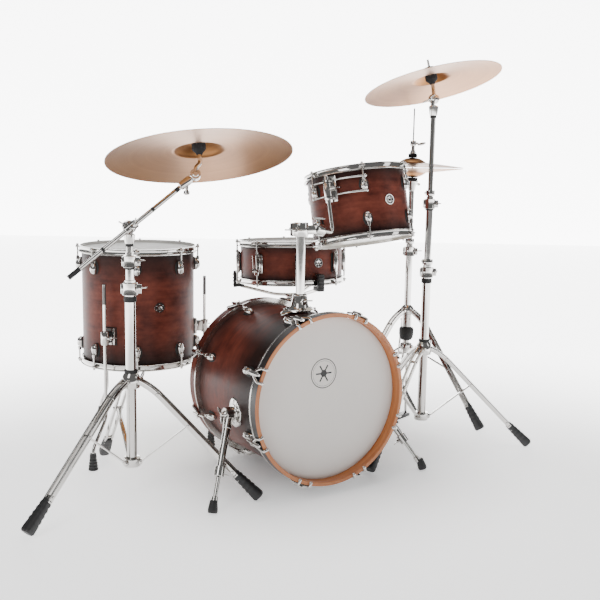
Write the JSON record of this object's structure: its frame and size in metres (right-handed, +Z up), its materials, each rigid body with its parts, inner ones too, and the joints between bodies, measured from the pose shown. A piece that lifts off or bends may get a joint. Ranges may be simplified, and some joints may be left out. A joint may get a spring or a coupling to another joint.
{
  "type": "acoustic drum kit",
  "caption": "Four-piece acoustic drum kit with bass drum, rack tom, floor tom, snare, hi-hats, a ride on a boom stand and a crash on a straight stand.",
  "frame": {"origin": "on the floor, under the middle of the kit's bounding box", "axes": "+Z up, +X across the kit from the boom stand to the hi-hat, -Y the way the front of the bass drum faces"},
  "size_m": [1.6519, 1.0227, 1.2592],
  "materials": {
    "walnut_shell": "satin",
    "maple_hoop": "satin",
    "coated_skin": "matte",
    "clear_skin": "satin",
    "chrome": "polished",
    "bronze": "satin",
    "black": "matte"
  },
  "bodies": {
    "kit": {"bass_shell": "walnut_shell", "bass_front_head": "coated_skin", "bass_rear_head": "coated_skin", "bass_front_hoop": "maple_hoop", "bass_rear_hoop": "walnut_shell", "tom_mount_plate": "chrome", "pedal_frame": "chrome", "floor_shell": "walnut_shell", "floor_top_head": "coated_skin", "floor_bottom_head": "clear_skin", "floor_top_hoop": "chrome", "floor_bottom_hoop": "chrome", "snare_stand_base": "chrome", "hihat_stand_base": "chrome", "boom_stand_base": "chrome", "crash_stand_base": "chrome"},
    "tom_mast": {"tom_mast": "chrome"},
    "tom_clamp": {"tom_clamp": "chrome"},
    "tom_arm": {"tom_arm": "chrome"},
    "rack_tom": {"rack_shell": "walnut_shell", "rack_top_head": "coated_skin", "rack_bottom_head": "clear_skin", "rack_top_hoop": "chrome", "rack_bottom_hoop": "chrome", "rack_bracket": "chrome"},
    "left_spur_leg": {"left_spur_leg": "chrome"},
    "left_spur_rod": {"left_spur_rod": "chrome"},
    "right_spur_leg": {"right_spur_leg": "chrome"},
    "right_spur_rod": {"right_spur_rod": "chrome"},
    "pedal_footboard": {"pedal_footboard": "chrome"},
    "pedal_beater": {"pedal_beater": "black"},
    "floor_leg_1": {"floor_leg_1": "chrome"},
    "floor_leg_2": {"floor_leg_2": "chrome"},
    "floor_leg_3": {"floor_leg_3": "chrome"},
    "snare_stand_tube": {"snare_stand_tube": "chrome"},
    "snare_drum": {"snare_basket": "chrome", "snare_shell": "walnut_shell", "snare_top_head": "coated_skin", "snare_bottom_head": "clear_skin", "snare_top_hoop": "chrome", "snare_bottom_hoop": "chrome", "snare_strainer": "chrome"},
    "strainer_lever": {"strainer_lever": "chrome"},
    "snare_wires": {"snare_wires": "chrome"},
    "hihat_footboard": {"hihat_footboard": "black"},
    "hihat_upper_tube": {"hihat_upper_tube": "chrome"},
    "lower_hat": {"lower_hat": "bronze"},
    "hihat_pull_rod": {"hihat_pull_rod": "chrome"},
    "upper_hat": {"upper_hat": "bronze", "hihat_clutch": "chrome"},
    "boom_middle_tube": {"boom_middle_tube": "chrome"},
    "boom_top_tube": {"boom_top_tube": "chrome"},
    "boom_tilter": {"boom_tilter": "chrome"},
    "boom_arm": {"boom_arm": "chrome"},
    "ride_tilter": {"ride_tilter": "chrome"},
    "ride_cymbal": {"ride_cymbal": "bronze"},
    "crash_middle_tube": {"crash_middle_tube": "chrome"},
    "crash_top_tube": {"crash_top_tube": "chrome"},
    "crash_tilter": {"crash_tilter": "chrome"},
    "crash_cymbal": {"crash_cymbal": "bronze"}
  },
  "joints": [
    {"name": "tom_mast_height", "type": "slide", "parent": "kit", "child": "tom_mast", "axis": [0, 0, 1], "range_m": [-0.05, 0.03]},
    {"name": "tom_swivel", "type": "hinge", "parent": "tom_mast", "child": "tom_clamp", "pos_m": [0.003, -0.3115, 0.548], "axis": [0, 0, 1], "range_deg": [-20, 4]},
    {"name": "tom_tilt", "type": "hinge", "parent": "tom_clamp", "child": "tom_arm", "pos_m": [0.066, -0.3105, 0.7335], "axis": [1, 0, 0], "range_deg": [-8, 8]},
    {"name": "tom_on_arm", "type": "slide", "parent": "tom_arm", "child": "rack_tom", "axis": [-0.0358, 0.2096, 0.9771], "range_m": [-0.012, 0.015]},
    {"name": "left_spur_fold", "type": "hinge", "parent": "kit", "child": "left_spur_leg", "pos_m": [-0.2405, -0.3425, 0.228], "axis": [1, 0, 0], "range_deg": [-55, 0]},
    {"name": "left_spur_reach", "type": "slide", "parent": "left_spur_leg", "child": "left_spur_rod", "axis": [-0.4066, -0.4626, -0.7878], "range_m": [-0.05, 0.03]},
    {"name": "right_spur_fold", "type": "hinge", "parent": "kit", "child": "right_spur_leg", "pos_m": [0.2465, -0.3425, 0.228], "axis": [1, 0, 0], "range_deg": [-55, 0]},
    {"name": "right_spur_reach", "type": "slide", "parent": "right_spur_leg", "child": "right_spur_rod", "axis": [0.4066, -0.4626, -0.7878], "range_m": [-0.05, 0.03]},
    {"name": "pedal_press", "type": "hinge", "parent": "kit", "child": "pedal_footboard", "pos_m": [0.003, 0.2175, 0.018], "axis": [1, 0, 0], "range_deg": [0, 11], "stiffness_Nm_per_rad": 6, "springref_deg": -14.32},
    {"name": "beater_strike", "type": "hinge", "parent": "kit", "child": "pedal_beater", "pos_m": [0.003, -0.0525, 0.13], "axis": [1, 0, 0], "range_deg": [0, 45]},
    {"name": "floor_leg_1_height", "type": "slide", "parent": "kit", "child": "floor_leg_1", "axis": [0, 0, 1], "range_m": [-0.03, 0.05]},
    {"name": "floor_leg_2_height", "type": "slide", "parent": "kit", "child": "floor_leg_2", "axis": [0, 0, 1], "range_m": [-0.05, 0.05]},
    {"name": "floor_leg_3_height", "type": "slide", "parent": "kit", "child": "floor_leg_3", "axis": [0, 0, 1], "range_m": [-0.05, 0.05]},
    {"name": "snare_height", "type": "slide", "parent": "kit", "child": "snare_stand_tube", "axis": [0, 0, 1], "range_m": [-0.03, 0.05]},
    {"name": "snare_tilt", "type": "hinge", "parent": "snare_stand_tube", "child": "snare_drum", "pos_m": [0.26, 0.1665, 0.44], "axis": [1, 0, 0], "range_deg": [-7.5, 2]},
    {"name": "strainer_throw", "type": "hinge", "parent": "snare_drum", "child": "strainer_lever", "pos_m": [0.07185, 0.09214, 0.56786], "axis": [0.3907, -0.9196, 0.0402], "range_deg": [0, 90]},
    {"name": "snare_wire_drop", "type": "slide", "parent": "snare_drum", "child": "snare_wires", "axis": [0, -0.0436, -0.999], "range_m": [0, 0.003]},
    {"name": "hihat_press", "type": "hinge", "parent": "kit", "child": "hihat_footboard", "pos_m": [0.56202, 0.25804, 0.02], "axis": [0.9511, 0.309, 0], "range_deg": [0, 0.4209], "stiffness_Nm_per_rad": 60, "springref_deg": -5.73},
    {"name": "hihat_height", "type": "slide", "parent": "kit", "child": "hihat_upper_tube", "axis": [0, 0, 1], "range_m": [-0.03, 0.05]},
    {"name": "lower_hat_spin", "type": "hinge", "parent": "hihat_upper_tube", "child": "lower_hat", "pos_m": [0.647, -0.0035, 0.916], "axis": [0, 0, 1], "continuous": true},
    {"name": "hihat_pull", "type": "slide", "parent": "hihat_upper_tube", "child": "hihat_pull_rod", "axis": [0, 0, -1], "range_m": [0, 0.0018]},
    {"name": "clutch_height", "type": "slide", "parent": "hihat_pull_rod", "child": "upper_hat", "axis": [0, 0, 1], "range_m": [0, 0.03]},
    {"name": "boom_middle_height", "type": "slide", "parent": "kit", "child": "boom_middle_tube", "axis": [0, 0, 1], "range_m": [-0.028, 0.12]},
    {"name": "boom_top_height", "type": "slide", "parent": "boom_middle_tube", "child": "boom_top_tube", "axis": [0, 0, 1], "range_m": [0, 0.08]},
    {"name": "boom_tilt", "type": "hinge", "parent": "boom_top_tube", "child": "boom_tilter", "pos_m": [-0.487, -0.235, 0.749], "axis": [0.1219, 0.9925, 0], "range_deg": [-20, 8]},
    {"name": "boom_reach", "type": "slide", "parent": "boom_tilter", "child": "boom_arm", "axis": [0.7811, -0.0959, 0.617], "range_m": [-0.1, 0.04]},
    {"name": "ride_tilt", "type": "hinge", "parent": "boom_arm", "child": "ride_tilter", "pos_m": [-0.31357, -0.27544, 0.88783], "axis": [0.3313, 0.9012, -0.2794], "range_deg": [-12, 12]},
    {"name": "ride_spin", "type": "hinge", "parent": "ride_tilter", "child": "ride_cymbal", "pos_m": [-0.29674, -0.26766, 0.93287], "axis": [0.038, 0.2831, 0.9583], "continuous": true},
    {"name": "crash_middle_height", "type": "slide", "parent": "kit", "child": "crash_middle_tube", "axis": [0, 0, 1], "range_m": [-0.05, 0.12]},
    {"name": "crash_top_height", "type": "slide", "parent": "crash_middle_tube", "child": "crash_top_tube", "axis": [0, 0, 1], "range_m": [-0.05, 0.1]},
    {"name": "crash_tilt", "type": "hinge", "parent": "crash_top_tube", "child": "crash_tilter", "pos_m": [0.518, -0.261, 1.134], "axis": [0.9532, 0.3024, 0], "range_deg": [-10, 16]},
    {"name": "crash_spin", "type": "hinge", "parent": "crash_tilter", "child": "crash_cymbal", "pos_m": [0.52314, -0.24578, 1.17918], "axis": [-0.0833, 0.2627, 0.9613], "continuous": true}
  ],
  "couplings": [
    {"joint": "beater_strike", "follows": "pedal_press", "ratio": 4.0909},
    {"joint": "snare_wire_drop", "follows": "strainer_throw", "m_per_rad": 0.0019099},
    {"joint": "hihat_pull", "follows": "hihat_press", "m_per_rad": 0.245}
  ]
}
